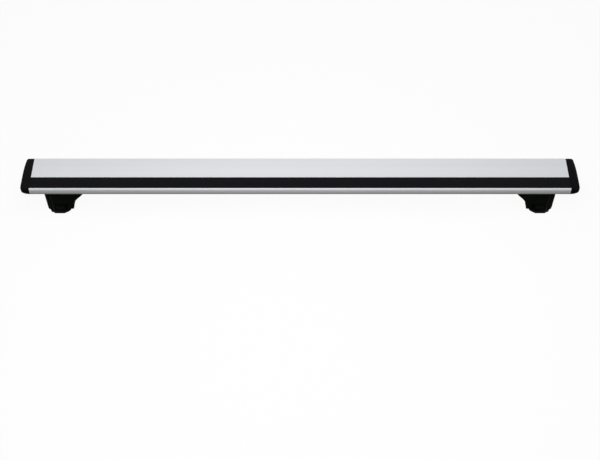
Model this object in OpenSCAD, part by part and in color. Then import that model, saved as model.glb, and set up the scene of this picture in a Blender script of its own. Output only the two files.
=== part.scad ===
// Aero roof rack crossbar with two rail clamping feet, all sizes in millimetres
// +X to the right, +Y to the rear, +Z up, origin under the middle of the bar, on its standing plane

/* [Bar section] */
// Length of the aluminium bar between its end caps
bar_len = 1150; // [1000:10:1300]
// Depth of the section from front to rear
chord = 88; // [84:1:96]
// Height of the section
bar_h = 28; // [27:0.5:32]
// Distance from the front edge back to the lowest point of the underside
belly_at = 30; // [28:0.5:32]
// Height of the front edge above the lowest point
nose_z = 17; // [16:0.5:18.5]
// Depth of the tight rounding above the front edge
nose_len = 4; // [3.5:0.5:5]
// Radius of the thin rear edge
tail_r = 2.5; // [2.3:0.1:3]
// Thickness of the outer walls and webs
wall = 2; // [1.6:0.1:2.3]
// Distance from the bar's middle line back to the vertical web
web_y = 14; // [12:1:17]

/* [Top slot and strip] */
// Width of the rubber strip set into the top
strip_w = 30; // [28:0.5:31]
// Depth of the recess that the strip lies in
strip_t = 2.2; // [1.8:0.1:2.6]
// Silver land between the rounded front and the strip
front_land = 0.6; // [0.4:0.1:1.5]
// Width of the slot's mouth
mouth_w = 11; // [10:0.5:12]
// Width of the slot's cavity
cavity_w = 20; // [18:0.5:21]
// Thickness of the lips that narrow the slot's mouth
lip_t = 2.5; // [2:0.1:2.8]
// Thickness of the strip's two barbed legs
leg_t = 2.2; // [1.8:0.1:2.6]

/* [Lower channel] */
// Distance from the bar's middle line forward to the middle of the channel
channel_fwd = 6; // [4:0.5:7]
// Width of the channel's mouth
track_mouth_w = 9; // [8.6:0.1:10]
// Width of the channel's cavity
track_w = 18; // [16:0.5:19]
// Height of the channel's cavity
track_h = 6.5; // [5.8:0.1:7]
// Height of the cavity's floor above the lowest point of the underside
track_floor = 4.8; // [4.6:0.1:5]

/* [End caps] */
// How far the cap stands out past the bar at its longest place
cap_len = 19.7; // [18:0.1:22]
// How much shorter the cap gets half a chord away from its longest place
cap_bow = 2.9; // [2:0.1:4]
// Distance from the bar's middle line forward to the cap's longest place
cap_peak_fwd = 12; // [8:1:16]
// Plan radius of the cap's front corner
cap_front_r = 6; // [4:0.5:8]
// Plan radius of the cap's rear corner
cap_rear_r = 8; // [5:0.5:9]
// Rounding of the cap's upper and lower outer edges
cap_edge_r = 3; // [2.5:0.1:4]
// How far along the cap its raked lower front corner runs
cap_rake_l = 18; // [12:1:19]
// How deep the raked corner is at the cap's outer end
cap_rake_d = 10; // [6:0.5:11]
// Wall of the moulded cap
cap_wall = 2.4; // [2:0.1:2.8]
// Length of the cap's spigots inside the bar
spigot_len = 14; // [10:1:20]
// Radius of the cap screws' shank
screw_r = 2; // [1.8:0.1:2.2]
// Length of the cap screws' shank
screw_len = 16; // [12:1:20]

/* [Foot] */
// Distance from the bar's end in to the middle of each roof rail
rail_in = 57; // [45:1:155]
// Height of the bar's lowest point above the standing plane
bar_z = 66; // [64:0.5:72]
// Depth of the foot from front to rear
foot_d = 56; // [52:1:60]
// Distance from the bar's middle line forward to the middle of the foot
foot_fwd = 6; // [4:0.5:7]
// Width of the space for the roof rail
rail_w = 30; // [28:0.5:32]
// Height of the rail seat's contact face above the standing plane
seat_z = 33; // [31:0.5:34]
// Distance from the rail's middle in to the waist of the foot
waist = 26; // [24:0.5:28]
// Distance from the rail's middle in to the tip of the flare under the bar
flare = 54; // [52:0.5:60]
// Height of the waist above the standing plane
waist_z = 24; // [22:0.5:26]
// Height of the inner skirt's lower edge above the standing plane
skirt_z = 16; // [15.5:0.5:18]
// Plan radius of the foot's inner corners
foot_corner_r = 9; // [6:0.5:12]
// Wall of the moulded foot around its cored pockets
foot_wall = 3; // [2.4:0.1:3.6]
// Thickness of the rubber saddle between foot and bar
saddle_t = 2; // [1.5:0.1:2.4]
// Thickness of the rubber rail pad
pad_t = 4; // [3.4:0.1:4.4]

/* [Clamp] */
// Height of the clamp bolt's axis above the standing plane
bolt_z = 49; // [48:0.5:50]
// Thickness of the jaw's upright leg
leg_w = 6; // [5:0.5:7]
// How far the jaw's heel stands out past its leg, under the cover
heel_d = 7; // [5:0.5:8]
// Thickness of the jaw's hook under the rail
hook_t = 7; // [6:0.5:8]
// Distance from the rail's middle in to the tip of the hook
hook_tip = 18; // [16:0.5:20]
// Height that the hook's tip rises to
tip_z = 14; // [12:0.5:14.5]
// Thickness of the rubber jaw liner
liner_t = 1.5; // [1:0.1:2]
// Nominal thread radius of the clamp bolt and the track bolt
thread_r = 4; // [3.8:0.1:4.1]
// Radius of the clamp bolt's head
head_r = 6.5; // [6:0.1:6.8]
// Height of the clamp bolt's head
head_h = 8; // [7:0.5:8.5]
// Width across the flats of the nuts
nut_af = 13; // [12.5:0.1:13.5]
// Thickness of the nuts
nut_t = 6.5; // [6:0.1:7]
// Thickness of the washers
washer_t = 1.6; // [1.2:0.1:2]
// Radius of the washers
washer_r = 8; // [7.6:0.1:8.3]

/* [Lock cover] */
// How far the cover stands out from the jaw's leg
cover_d = 11; // [10:0.5:12]
// Height of the cover's lower edge above the standing plane
cover_z0 = 9; // [8:0.5:12]
// Wall of the cover
cover_wall = 2.2; // [2:0.1:2.6]
// Radius of the hinge pin
pin_r = 1.6; // [1.4:0.1:1.8]
// Radius of the lock barrel
barrel_r = 5.5; // [5:0.1:6]
// Height of the lock barrel's axis above the standing plane
lock_z = 26; // [24:0.5:28]
// Reach of the lock cam from the barrel's axis
cam_reach = 11.5; // [10:0.5:12]
// Width of the lock cam
cam_w = 6.5; // [5:0.5:7]

/* [Hidden] */
$fn = 48;

// Clearance of a pin or screw in its hole, and of a thread in its nut
run_gap = 0.05;
// Clearance between flat faces that slide
slide_gap = 0.15;
// Clearance between curved faces of pieces that move apart
form_gap = 0.3;
// Overlap that makes a cut pass through a face
cut = 1;
// Points of an outline nearer to each other than this are one point
apart = 0.01;

half_len = bar_len / 2;
rail_x = half_len - rail_in;
nose_y = -chord / 2;
tail_y = chord / 2;
belly_y = nose_y + belly_at;
bar_top = bar_z + bar_h;
strip_y0 = nose_y + nose_len + front_land;
slot_y = strip_y0 + strip_w / 2;
lip_z = bar_h - strip_t - lip_t;
track_y = -channel_fwd;
track_roof = track_floor + track_h;
// The web under the slot's cavity lies level above the web over the channel
slot_floor = track_roof + wall;
cavity_z = slot_floor + wall;
cavity_h = lip_z - cavity_z;

// Screw ports of the bar: the middle of each hole, and the block that holds it to its wall
port_r = screw_r + run_gap;
port_wall = 1.6;
front_port_drop = 0.8;
rear_port_drop = 1.4;
rear_port_in = 8;
front_port = [slot_y, slot_floor - port_r - front_port_drop];
rear_port = [web_y + rear_port_in, bar_h - wall - port_r - rear_port_drop];

// Foot: the roof that reaches out over the jaw, and the body under it, measured from the rail's middle
foot_y = -foot_fwd;
roof_t = 6;
roof_z = bar_z - roof_t;
under_z = seat_z + pad_t / 2;
pocket_z = seat_z + pad_t;
leg_in = rail_w / 2 + liner_t;
leg_out = leg_in + leg_w;
leg_step = 1;
body_out = leg_in - leg_step;
roof_step = 0.8;
roof_out = leg_out - roof_step;
flare_power = 1.8;
foot_edge_r = 3;

// Sliding block of the jaw and the guide that it runs in
block_wall = 2;
block_h = 2 * (head_r + block_wall);
block_w = 30;
block_in = 6;
guide_play = 0.5;
guide_in = block_in - guide_play;
bore_gap = 0.4;
bore_r = thread_r + bore_gap;
washer_gap = 0.2;
seat_x = leg_out - head_h;
bolt_end = -24;
end_play = 0.6;
nut_x = -14.2;
nut_gap = 0.3;

// T bolt that hangs in the channel, and the spot face for its washer and nut
track_x = -38;
track_head_h = 4.6;
track_head_l = 12;
track_head_play = 0.1;
spot_drop = 11;
spot_z = bar_z - spot_drop;
spot_gap = 1;
thread_past = 2;
track_end = spot_z - washer_t - nut_t - thread_past;

// Lock cover, its pin and its lock, measured from the jaw's leg
cover_out = leg_out + cover_d;
cover_in = leg_out + form_gap;
cover_side = 3;
cover_w = foot_d - 2 * cover_side;
cover_top = roof_z - 2 * form_gap;
cover_corner = 8;
cover_face = 1;
cover_low_r = [3.5, 8];
cover_high_r = [5.4, 5];
pin_out = 4.6;
pin_x = leg_out + pin_out;
pin_drop = 3.2;
pin_z = cover_top - pin_drop;
pin_short = 1.5;
pin_play = 0.02;
lug_w = 5;
lug_y = 12.5;
lug_wall = 1.2;
lug_r = pin_r + lug_wall;
lug_half = pin_r + 0.5;
lug_root = 1;
cam_t = 1.5;
cam_out = 2.2;
cam_x = leg_out + cam_out;
barrel_in = cam_x + cam_t;
boss_wall = 1.8;
strike_x = barrel_in + form_gap;
strike_t = 1.5;
strike_w = 5;
strike_half = 5;

// Points of an elliptical arc round (c[0], c[1]) with radii r[0] and r[1], from angle a0 to a1 in n steps
function arc(c, r, a0, a1, n) = [for (i = [0:n]) let (a = a0 + (a1 - a0) * i / n)
    [c[0] + r[0] * cos(a), c[1] + r[1] * sin(a)]];

// Outline of the bar's section, set inwards by t: the tight upper front quarter, the long lower front
// quarter, a cosine rise to the rear, and the round rear edge
tail_angle = -57;
function tail_in(t) = max(tail_r - t, 0.2);
function tail_end(t) = [tail_y - tail_r + tail_in(t) * cos(tail_angle),
    bar_h - tail_r + tail_in(t) * sin(tail_angle)];
function section(t) = concat(
    arc([nose_y + nose_len, nose_z], [nose_len - t, bar_h - nose_z - t], 90, 180, 10),
    [for (p = arc([belly_y, nose_z], [belly_at - t, nose_z - t], 180, 270, 16))
        if (p[0] > nose_y + t + apart) p],
    [for (i = [1:14]) let (u = i / 14) [belly_y + (tail_end(t)[0] - belly_y) * u,
        t + (tail_end(t)[1] - t) * (1 - cos(90 * u))]],
    [for (p = arc([tail_y - tail_r, bar_h - tail_r], [tail_in(t), tail_in(t)], tail_angle, 90, 8))
        if (norm(p - tail_end(t)) > apart) p]);

// Outline with elliptical corners: x from x0 to x1, y from y0 to y1, corner radii in at x0 and out at x1
function corners(x0, x1, y0, y1, in, out) = concat(
    arc([x0 + in[0], y0 + in[1]], in, 180, 270, 8), arc([x1 - out[0], y0 + out[1]], out, 270, 360, 8),
    arc([x1 - out[0], y1 - out[1]], out, 0, 90, 8), arc([x0 + in[0], y1 - in[1]], in, 90, 180, 8));

// Outline with its two inner corners square and its two outer corners elliptical
function nosed(x0, x1, y0, y1, out) = concat([[x0, y0]],
    arc([x1 - out[0], y0 + out[1]], out, 270, 360, 8),
    arc([x1 - out[0], y1 - out[1]], out, 0, 90, 8), [[x0, y1]]);

// Carries a drawing in the Y-Z plane along X from x0 to x1
module along_x(x0, x1) {
    translate([x0, 0, 0]) rotate([90, 0, 90]) linear_extrude(height = x1 - x0) children();
}

// Carries a drawing in the X-Z plane along Y from y0 to y1
module along_y(y0, y1) {
    translate([0, y1, 0]) rotate([90, 0, 0]) linear_extrude(height = y1 - y0) children();
}

module rod_x(x0, x1, r) {
    translate([x0, 0, 0]) rotate([0, 90, 0]) cylinder(h = x1 - x0, r = r);
}

module rod_y(y0, y1, r) {
    translate([0, y0, 0]) rotate([-90, 0, 0]) cylinder(h = y1 - y0, r = r);
}

module box(p0, p1) {
    translate(p0) cube(p1 - p0);
}

// Pieces are drawn for the right-hand end and mirrored for the left
module mirrored(left) {
    if (left) mirror([1, 0, 0]) children();
    else children();
}

module at_foot() {
    translate([rail_x, 0, 0]) children();
}

// Block of a screw port, tied to the wall above it
module port_block(p, top) {
    half = port_r + port_wall;
    translate([p[0] - half, p[1] - half]) square([2 * half, top - p[1] + half]);
}

module hollow_2d() {
    difference() {
        polygon(section(wall));
        translate([slot_y - cavity_w / 2 - wall, slot_floor]) square([cavity_w + 2 * wall, bar_h]);
        translate([nose_y, lip_z]) square([strip_y0 + strip_w + wall - nose_y, bar_h]);
        translate([track_y - track_w / 2 - wall, -cut]) square([track_w + 2 * wall, track_roof + wall + cut]);
        translate([web_y - wall / 2, 0]) square([wall, bar_h]);
        port_block(front_port, slot_floor + wall / 2);
        port_block(rear_port, bar_h - wall / 2);
    }
}

module bar_2d() {
    difference() {
        polygon(section(0));
        hollow_2d();
        translate([strip_y0, bar_h - strip_t]) square([strip_w, strip_t + cut]);
        translate([slot_y - mouth_w / 2, lip_z - cut]) square([mouth_w, bar_h]);
        translate([slot_y - cavity_w / 2, cavity_z]) square([cavity_w, cavity_h]);
        translate([track_y - track_mouth_w / 2, -cut]) square([track_mouth_w, track_floor + 2 * cut]);
        translate([track_y - track_w / 2, track_floor]) square([track_w, track_h]);
        for (p = [front_port, rear_port]) translate(p) circle(r = port_r);
    }
}

module bar_extrusion() {
    color("silver") translate([0, 0, bar_z]) along_x(-half_len, half_len) bar_2d();
}

// Rubber strip: a flat band with a low crown, and two barbed legs that snap under the lips
strip_crown = 0.25;
barb = 0.9;
barb_h = 3;
strip_base = bar_h - strip_t;
// One leg, from the band down its outer side, round its barb and up its inner side
function strip_leg(side) = let (out = slot_y + side * (mouth_w / 2 - slide_gap), top = lip_z - slide_gap) [
    [out, strip_base], [out, top], [out + side * barb, top], [out + side * barb, top - barb_h / 4],
    [out, top - barb_h], [out - side * leg_t, top - barb_h], [out - side * leg_t, strip_base]];
function backwards(list) = [for (i = [len(list) - 1:-1:0]) list[i]];
module strip_2d() {
    half = strip_w / 2 - slide_gap;
    polygon(concat([[slot_y - half, strip_base]], strip_leg(-1), backwards(strip_leg(1)),
        [[slot_y + half, strip_base]],
        [for (i = [0:12]) let (u = 1 - i / 6) [slot_y + half * u, bar_h - strip_crown * u * u]]));
}

module top_strip() {
    color("#1b1b1f") translate([0, 0, bar_z]) along_x(-half_len, half_len) strip_2d();
}

// Outer limit of the end cap in plan, a shallow bow, set inwards by t
function cap_reach(y, t) = cap_len - t - cap_bow * pow((y + cap_peak_fwd) / (chord / 2), 2);
function cap_plan(t) = let (yf = nose_y + cap_front_r, yr = tail_y - cap_rear_r,
    rf = max(cap_front_r - t, 0.5), rr = max(cap_rear_r - t, 0.5)) concat(
    [[-spigot_len, nose_y + t]],
    arc([cap_reach(yf, t) - rf, yf], [rf, cap_front_r - t], 270, 360, 6),
    [for (i = [1:11]) let (y = yf + (yr - yf) * i / 12) [cap_reach(y, t), y]],
    arc([cap_reach(yr, t) - rr, yr], [rr, cap_rear_r - t], 0, 90, 8),
    [[-spigot_len, tail_y - t]]);

// Direction in which the lower front corner is raked, as degrees from straight down towards the front
cap_tilt = 50;
cap_low = max([for (p = section(0)) -p[0] * sin(cap_tilt) - p[1] * cos(cap_tilt)]);

// The cap's outer form, set inwards by t: the bar's own section, trimmed in plan and along its edges
module cap_form(t) {
    intersection() {
        translate([0, 0, bar_z]) along_x(0, cap_len) polygon(section(t));
        translate([0, 0, bar_z]) linear_extrude(height = bar_h) polygon(cap_plan(t));
        along_y(nose_y, tail_y) polygon(corners(-cap_len, cap_len - t, bar_z + t, bar_top - t,
            [cap_edge_r, cap_edge_r], [cap_edge_r, cap_edge_r]));
        translate([0, 0, bar_z]) rotate([-cap_tilt, 0, 0]) along_y(-chord, chord)
            polygon(concat([[-cap_len, -cap_low + t]],
                arc([cap_len - cap_rake_l, cap_rake_d - cap_low],
                    [cap_rake_l - t, cap_rake_d - t], 270, 360, 10),
                [[cap_len - t, chord], [-cap_len, chord]]));
    }
}

cap_floor = 3;
cap_rib = 9;
head_r_cap = 2 * screw_r;
head_h_cap = 1.2 * screw_r;
head_gap = 0.3;
tube_wall = 0.9;
module end_cap(left) {
    spigot_y0 = strip_y0 + strip_w + wall + form_gap;
    spigot_y1 = web_y - wall / 2 - form_gap;
    spigot_z0 = track_roof + wall + form_gap;
    spigot_z1 = bar_h - wall - form_gap;
    head = head_r_cap + head_gap;
    color("#17171a") mirrored(left) translate([half_len, 0, 0]) difference() {
        union() {
            difference() {
                cap_form(0);
                translate([-cap_wall, 0, 0]) cap_form(cap_wall);
            }
            // Tubes that carry the screws
            intersection() {
                cap_form(0);
                for (p = [front_port, rear_port]) translate([0, p[0], bar_z + p[1]])
                    rod_x(0, cap_len, head + tube_wall + head_gap);
            }
            // Box spigot in the middle chamber
            translate([0, 0, bar_z]) difference() {
                box([-spigot_len, spigot_y0, spigot_z0], [cap_floor, spigot_y1, spigot_z1]);
                box([-spigot_len - cut, spigot_y0 + wall, spigot_z0 + wall],
                    [cap_floor + cut, spigot_y1 - wall, spigot_z1 - wall]);
            }
            // Rib that ties the spigot to the cap's walls
            intersection() {
                cap_form(0);
                box([0, nose_y, bar_z + spigot_z0], [cap_floor, tail_y, bar_z + spigot_z0 + wall]);
            }
            intersection() {
                cap_form(0);
                box([0, web_y - wall / 2, bar_z], [cap_rib, web_y + wall / 2, bar_top]);
            }
        }
        for (p = [front_port, rear_port]) translate([0, p[0], bar_z + p[1]]) {
            rod_x(-cut, cap_len, screw_r + washer_gap);
            rod_x(cap_floor, cap_len + cut, head);
        }
    }
}

module end_cap_screws(left) {
    color("gray") mirrored(left) translate([half_len, 0, 0])
        for (p = [front_port, rear_port]) translate([0, p[0], bar_z + p[1]]) difference() {
            union() {
                rod_x(cap_floor - screw_len, cap_floor, screw_r);
                rod_x(cap_floor, cap_floor + head_h_cap, head_r_cap);
            }
            rotate([0, 90, 0]) translate([0, 0, cap_floor + head_h_cap / 2])
                cylinder(h = head_h_cap, r = screw_r, $fn = 6);
        }
}

// Inner outline of the foot: a vertical waist that sweeps in under the bar as a power curve
function flare_x(z) = -waist - (flare - waist) * pow((z - waist_z) / (bar_z - waist_z), flare_power);
foot_top = bar_z + bar_h / 2;
flare_steps = 16;
foot_outline = concat(
    [[roof_out, roof_z], [roof_out, foot_top], [-flare, foot_top]],
    [for (i = [0:flare_steps]) let (z = bar_z - (bar_z - waist_z) * i / flare_steps) [flare_x(z), z]],
    arc([-waist + foot_edge_r, skirt_z + foot_edge_r], [foot_edge_r, foot_edge_r], 180, 270, 5),
    [[-rail_w / 2, skirt_z], [-rail_w / 2, under_z], [body_out, under_z], [body_out, roof_z]]);

// Space under the bar's curved underside, t below it, across the foot
module bar_space(t) {
    translate([0, 0, bar_z]) along_x(-flare - cut, cover_out) polygon(section(-t));
}

module foot_plan(t, z0, z1) {
    translate([0, 0, z0]) linear_extrude(height = z1 - z0) polygon(corners(-flare + t, roof_out - t,
        foot_y - foot_d / 2 + t, foot_y + foot_d / 2 - t, [foot_corner_r, foot_corner_r],
        [foot_edge_r, foot_edge_r]));
}

nut_slot_w = nut_af + nut_gap;
nut_slot_top = bolt_z + nut_af / sqrt(3) + nut_gap;
pocket_rim = 2;
pocket_side = foot_wall + pocket_rim;
flare_wall = 2 * foot_wall;
module foot_body(left) {
    color("#101210") mirrored(left) at_foot() difference() {
        intersection() {
            along_y(foot_y - foot_d / 2, foot_y + foot_d / 2) polygon(foot_outline);
            foot_plan(0, 0, foot_top);
        }
        bar_space(saddle_t + form_gap);
        // Seat of the rail pad
        box([-rail_w / 2, foot_y - pad_w / 2, under_z - cut], [pad_out, foot_y + pad_w / 2, pocket_z]);
        // Guide of the jaw's sliding block
        box([guide_in, foot_y - block_w / 2 - slide_gap, bolt_z - block_h / 2 - slide_gap],
            [roof_out + cut, foot_y + block_w / 2 + slide_gap, bolt_z + block_h / 2 + slide_gap]);
        translate([0, foot_y, bolt_z]) rod_x(bolt_end - end_play, guide_in + cut, bore_r);
        // Trap of the captive nut, open to the pad's seat
        box([nut_x - slide_gap, foot_y - nut_slot_w / 2, pocket_z - cut],
            [nut_x + nut_t + slide_gap, foot_y + nut_slot_w / 2, nut_slot_top]);
        // Hole and spot face of the track bolt
        translate([track_x, track_y, 0]) {
            translate([0, 0, skirt_z]) cylinder(h = foot_top, r = bore_r);
            translate([0, 0, skirt_z]) cylinder(h = spot_z - skirt_z, r = washer_r + spot_gap);
        }
        // Cored pockets beside the track bolt, open below
        for (y = [[foot_y - foot_d / 2 + pocket_side, track_y - washer_r - spot_gap - foot_wall],
            [track_y + washer_r + spot_gap + foot_wall, foot_y + foot_d / 2 - pocket_side]])
            box([-flare + flare_wall, y[0], skirt_z], [flare_x(bolt_z) + cut, y[1], roof_z]);
        // Cored pockets beside the guide, open outwards behind the jaw
        for (y = [[foot_y - foot_d / 2 + foot_wall, foot_y - block_w / 2 - foot_wall],
            [foot_y + block_w / 2 + foot_wall, foot_y + foot_d / 2 - foot_wall]])
            box([-rail_w / 2 + foot_wall, y[0], pocket_z + foot_wall], [body_out + cut, y[1], roof_z]);
    }
}

saddle_in = 0.6;
saddle_low = 4;
saddle_up = bar_z + 0.45 * bar_h;
module saddle_pad(left) {
    color("#1d1e1d") mirrored(left) at_foot() difference() {
        intersection() {
            foot_plan(saddle_in, bar_z - saddle_low, saddle_up);
            bar_space(saddle_t + form_gap);
        }
        bar_space(form_gap);
        translate([track_x, track_y, 0]) cylinder(h = bar_top, r = bore_r);
    }
}

// Rail pad: a thick rubber sole with grooves across it
pad_lip = 1;
pad_in = 1;
pad_w = foot_d - 2 * pad_in;
pad_out = body_out - pad_lip;
groove_n = 6;
groove_w = 1.5;
groove_d = 1;
module rail_pad(left) {
    pitch = pad_w / (groove_n + 1);
    color("#1d1e1d") mirrored(left) at_foot() difference() {
        box([-rail_w / 2, foot_y - pad_w / 2, seat_z], [pad_out, foot_y + pad_w / 2, pocket_z]);
        for (i = [1:groove_n]) translate([0, foot_y - pad_w / 2 + i * pitch, seat_z])
            box([-rail_w, -groove_w / 2, -cut], [rail_w, groove_w / 2, groove_d]);
    }
}

// Jaw: an upright leg outside the rail and a hook that rises to its tip under the rail
hook_run = 2;
hook_fillet = 6;
hook_corner = [8, 6];
leg_corner = [5, 6];
jaw_low_r = 3;
jaw_top = roof_z - form_gap;
tip_r = 1.5;
tip_w = 3;
tip_h = 4;
jaw_outline = concat(
    [[-hook_run, 0]],
    arc([leg_out - jaw_low_r, jaw_low_r], [jaw_low_r, jaw_low_r], 270, 360, 5),
    [[leg_out, jaw_top], [leg_in, jaw_top]],
    arc([leg_in - hook_fillet, hook_t + hook_fillet], [hook_fillet, hook_fillet], 0, -90, 8),
    [[-2 * hook_run, hook_t], [-hook_tip + tip_w, tip_z]],
    arc([-hook_tip + tip_r, tip_z - tip_r], [tip_r, tip_r], 90, 180, 4),
    [[-hook_tip, tip_z - tip_h]]);

// Heel that carries the foot's outer line on below the cover
heel_top = cover_z0 - slide_gap - form_gap;
heel_lean = 1.8;
heel_r = 2.5;
module jaw_heel() {
    intersection() {
        along_y(foot_y - cover_w / 2, foot_y + cover_w / 2) polygon(concat(
            [[leg_in, heel_top], [leg_in, 0]],
            arc([leg_out + heel_d - heel_lean - heel_r, heel_r], [heel_r, heel_r], 270, 345, 5),
            [[leg_out + heel_d, heel_top]]));
        linear_extrude(height = heel_top) polygon(nosed(leg_in, leg_out + heel_d,
            foot_y - cover_w / 2, foot_y + cover_w / 2, [heel_d, cover_corner]));
    }
}

head_room = 0.5;
window_d = 3;
window_w = 6;
window_y0 = foot_y - 14;
window_y1 = window_y0 + window_w;
module clamp_jaw(left) {
    color("#0e0f0e") mirrored(left) at_foot() difference() {
        union() {
            intersection() {
                along_y(foot_y - foot_d / 2, foot_y + foot_d / 2) polygon(jaw_outline);
                linear_extrude(height = roof_z) polygon(corners(-hook_tip - cut, leg_out,
                    foot_y - foot_d / 2, foot_y + foot_d / 2, hook_corner, leg_corner));
            }
            jaw_heel();
            box([block_in, foot_y - block_w / 2, bolt_z - block_h / 2],
                [leg_in + cut, foot_y + block_w / 2, bolt_z + block_h / 2]);
            // Hinge lugs of the cover
            for (side = [-1, 1]) hinge_lug(foot_y + side * lug_y);
            strike();
        }
        translate([0, foot_y, bolt_z]) {
            rod_x(block_in - cut, leg_out, bore_r);
            rod_x(seat_x, leg_out + cut, head_r + head_room);
        }
        translate([pin_x, 0, pin_z]) rod_y(foot_y - foot_d, foot_y + foot_d, pin_r + run_gap);
        // Lightening window low in the leg, behind the cover
        box([leg_out - window_d, window_y0, cover_z0 + window_d],
            [leg_out + cut, window_y1, bolt_z - block_h / 2 - window_d]);
    }
}

module hinge_lug(y) {
    translate([pin_x, 0, pin_z]) rod_y(y - lug_w / 2, y + lug_w / 2, lug_r);
    box([leg_out - lug_root, y - lug_w / 2, pin_z - lug_half], [pin_x, y + lug_w / 2, pin_z + lug_half]);
}

// Keeper that the lock's cam turns behind
module strike() {
    y1 = foot_y + cam_reach + strike_w - cut;
    translate([0, 0, lock_z]) {
        box([strike_x, foot_y + barrel_r + boss_wall + slide_gap + cut, -strike_half],
            [strike_x + strike_t, y1, strike_half]);
        box([leg_out - lug_root, y1 - strike_t - form_gap, -strike_half],
            [strike_x + strike_t, y1, strike_half]);
    }
}

liner_side = 7;
liner_past = 1;
liner_top = seat_z + liner_past;
module jaw_liner(left) {
    r = hook_fillet;
    half = foot_d / 2 - liner_side;
    color("#1d1e1d") mirrored(left) at_foot() along_y(foot_y - half, foot_y + half) polygon(concat(
        [[leg_in, liner_top], [leg_in - liner_t, liner_top]],
        arc([leg_in - r, hook_t + r], [r - liner_t, r - liner_t], 0, -90, 8),
        [[-hook_run, hook_t + liner_t], [-hook_run, hook_t]],
        arc([leg_in - r, hook_t + r], [r, r], -90, 0, 8)));
}

socket_r = 0.87 * thread_r;
module clamp_bolt(left) {
    top = seat_x + washer_t + head_h;
    color("dimgray") mirrored(left) at_foot() translate([0, foot_y, bolt_z]) difference() {
        union() {
            rod_x(bolt_end, seat_x + washer_t + cut, thread_r);
            rod_x(seat_x + washer_t, top, head_r);
        }
        rotate([0, 90, 0]) translate([0, 0, top - head_h / 2]) cylinder(h = head_h, r = socket_r, $fn = 6);
    }
}

module clamp_washer(left) {
    color("gray") mirrored(left) at_foot() translate([0, foot_y, bolt_z]) difference() {
        rod_x(seat_x, seat_x + washer_t, head_r + washer_gap);
        rod_x(seat_x - cut, seat_x + washer_t + cut, thread_r + washer_gap);
    }
}

// Hexagon nut standing on its flats, bored for the thread, from the origin up
module nut() {
    difference() {
        cylinder(h = nut_t, r = nut_af / sqrt(3), $fn = 6);
        translate([0, 0, -cut]) cylinder(h = nut_t + 2 * cut, r = thread_r + run_gap);
    }
}

module clamp_nut(left) {
    color("gray") mirrored(left) at_foot() translate([nut_x, foot_y, bolt_z]) rotate([0, 90, 0]) nut();
}

// T-headed bolt hanging in the channel under the bar
module track_bolt(left) {
    head_z = bar_z + track_floor + track_head_play;
    color("dimgray") mirrored(left) at_foot() translate([track_x, track_y, 0]) union() {
        box([-track_head_l / 2, -track_w / 2 + form_gap, head_z],
            [track_head_l / 2, track_w / 2 - form_gap, head_z + track_head_h]);
        translate([0, 0, track_end]) cylinder(h = head_z + cut - track_end, r = thread_r);
    }
}

module track_washer(left) {
    color("gray") mirrored(left) at_foot() translate([track_x, track_y, spot_z - washer_t]) difference() {
        cylinder(h = washer_t, r = washer_r);
        translate([0, 0, -cut]) cylinder(h = washer_t + 2 * cut, r = thread_r + washer_gap);
    }
}

module track_nut(left) {
    color("gray") mirrored(left) at_foot() translate([track_x, track_y, spot_z - washer_t - nut_t]) nut();
}

// The cover's outer form, set inwards by t: rounded in plan and in its side profile
module cover_form(t) {
    intersection() {
        translate([0, 0, cover_z0 + t]) linear_extrude(height = cover_top - cover_z0 - 2 * t)
            polygon(nosed(cover_in - t, cover_out - t, foot_y - cover_w / 2 + t,
                foot_y + cover_w / 2 - t, [cover_d - cover_face - t, cover_corner - t]));
        along_y(foot_y - cover_w, foot_y + cover_w) polygon(concat(
            [[cover_in - t, cover_z0 + t]],
            arc([cover_out - cover_low_r[0], cover_z0 + cover_low_r[1]],
                [cover_low_r[0] - t, cover_low_r[1] - t], 270, 360, 8),
            arc([cover_out - cover_high_r[0], cover_top - cover_high_r[1]],
                [cover_high_r[0] - t, cover_high_r[1] - t], 0, 90, 8),
            [[cover_in - t, cover_top - t]]));
    }
}

cutback_in = 2.8;
setback_in = 0.5;
module lock_cover(left) {
    color("#121412") mirrored(left) at_foot() difference() {
        union() {
            difference() {
                cover_form(0);
                cover_form(cover_wall);
            }
            // Boss of the lock barrel
            intersection() {
                cover_form(0);
                translate([0, foot_y, lock_z]) rod_x(barrel_in + form_gap, cover_out, barrel_r + boss_wall);
            }
        }
        // Relief round the jaw's hinge lugs, and the slots that they stand in
        for (side = [-1, 1]) translate([pin_x, 0, pin_z])
            rod_y(foot_y + side * lug_y - lug_w / 2 - form_gap, foot_y + side * lug_y + lug_w / 2 + form_gap,
                lug_r + form_gap);
        for (side = [-1, 1]) box([cover_in - cut, foot_y + side * lug_y - lug_w / 2 - form_gap, pin_z],
            [pin_x + lug_r + form_gap, foot_y + side * lug_y + lug_w / 2 + form_gap, cover_top + cut]);
        translate([pin_x, 0, pin_z])
            rod_y(foot_y - cover_w / 2 + pin_short - form_gap, foot_y + cover_w / 2 - pin_short + form_gap,
                pin_r + pin_play);
        translate([0, foot_y, lock_z]) rod_x(barrel_in, cover_out + cut, barrel_r + run_gap);
        // The corner above the pin is cut back, to swing clear of the jaw, and further between the knuckles
        box([cover_in - cut, foot_y - cover_w, pin_z],
            [pin_x - cutback_in, foot_y + cover_w, cover_top + cut]);
        box([cover_in - cut, foot_y - cover_w / 2 + cover_wall, pin_z],
            [pin_x - setback_in, foot_y + cover_w / 2 - cover_wall, cover_top + cut]);
    }
}

module cover_pin(left) {
    color("gray") mirrored(left) at_foot() translate([pin_x, 0, pin_z])
        rod_y(foot_y - cover_w / 2 + pin_short, foot_y + cover_w / 2 - pin_short, pin_r);
}

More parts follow.
